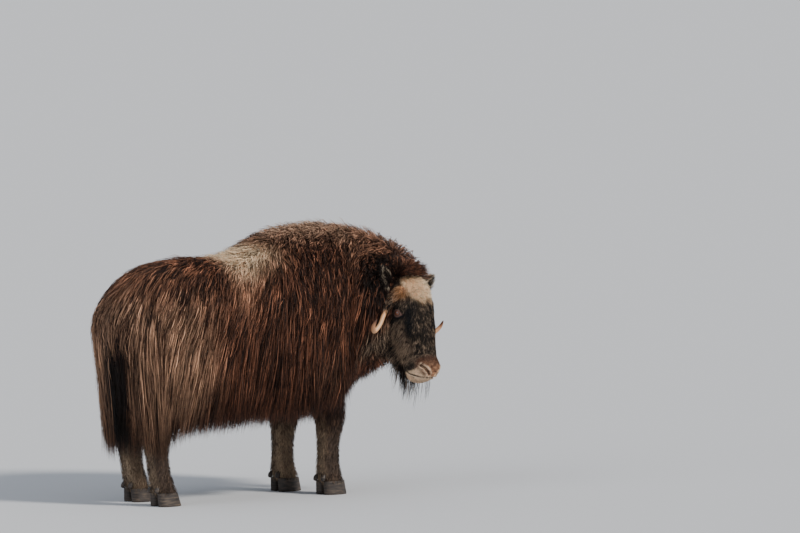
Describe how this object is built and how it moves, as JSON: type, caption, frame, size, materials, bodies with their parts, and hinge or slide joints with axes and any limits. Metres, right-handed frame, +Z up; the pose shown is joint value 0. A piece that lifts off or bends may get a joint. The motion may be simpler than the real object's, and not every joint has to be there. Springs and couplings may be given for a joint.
{
  "type": "standing muskox",
  "caption": "Life-size standing muskox cow with a long hanging coat, curved horns and the head turned to its right.",
  "frame": {"origin": "middle of the bounding box, on the floor that the hooves stand on", "axes": "+Z up, the body faces -Y, its right side is -X and the head is turned towards -X"},
  "size_m": [0.8332, 1.6518, 1.1936],
  "materials": {
    "coat": "long coarse guard hair over wool, dark brown with a pale saddle",
    "face": "short dark brown hair with a pale forehead and a rusty muzzle",
    "stocking": "short dense pale grey-brown hair",
    "horn": "smooth ivory keratin, darker at the tips",
    "hoof": "worn dark keratin",
    "eye": "wet dark brown"
  },
  "bodies": {
    "root": {"rump": "coat", "barrel": "coat", "shoulders": "coat", "neck": "coat", "tail": "coat", "head": "face", "ear_left": "coat", "ear_right": "coat", "eye_left": "eye", "eye_right": "eye", "horn_left": "horn", "horn_right": "horn", "leg_fore_left": "stocking", "leg_fore_right": "stocking", "leg_hind_left": "stocking", "leg_hind_right": "stocking", "hoof_fore_left": "hoof", "hoof_fore_right": "hoof", "hoof_hind_left": "hoof", "hoof_hind_right": "hoof"}
  },
  "joints": []
}
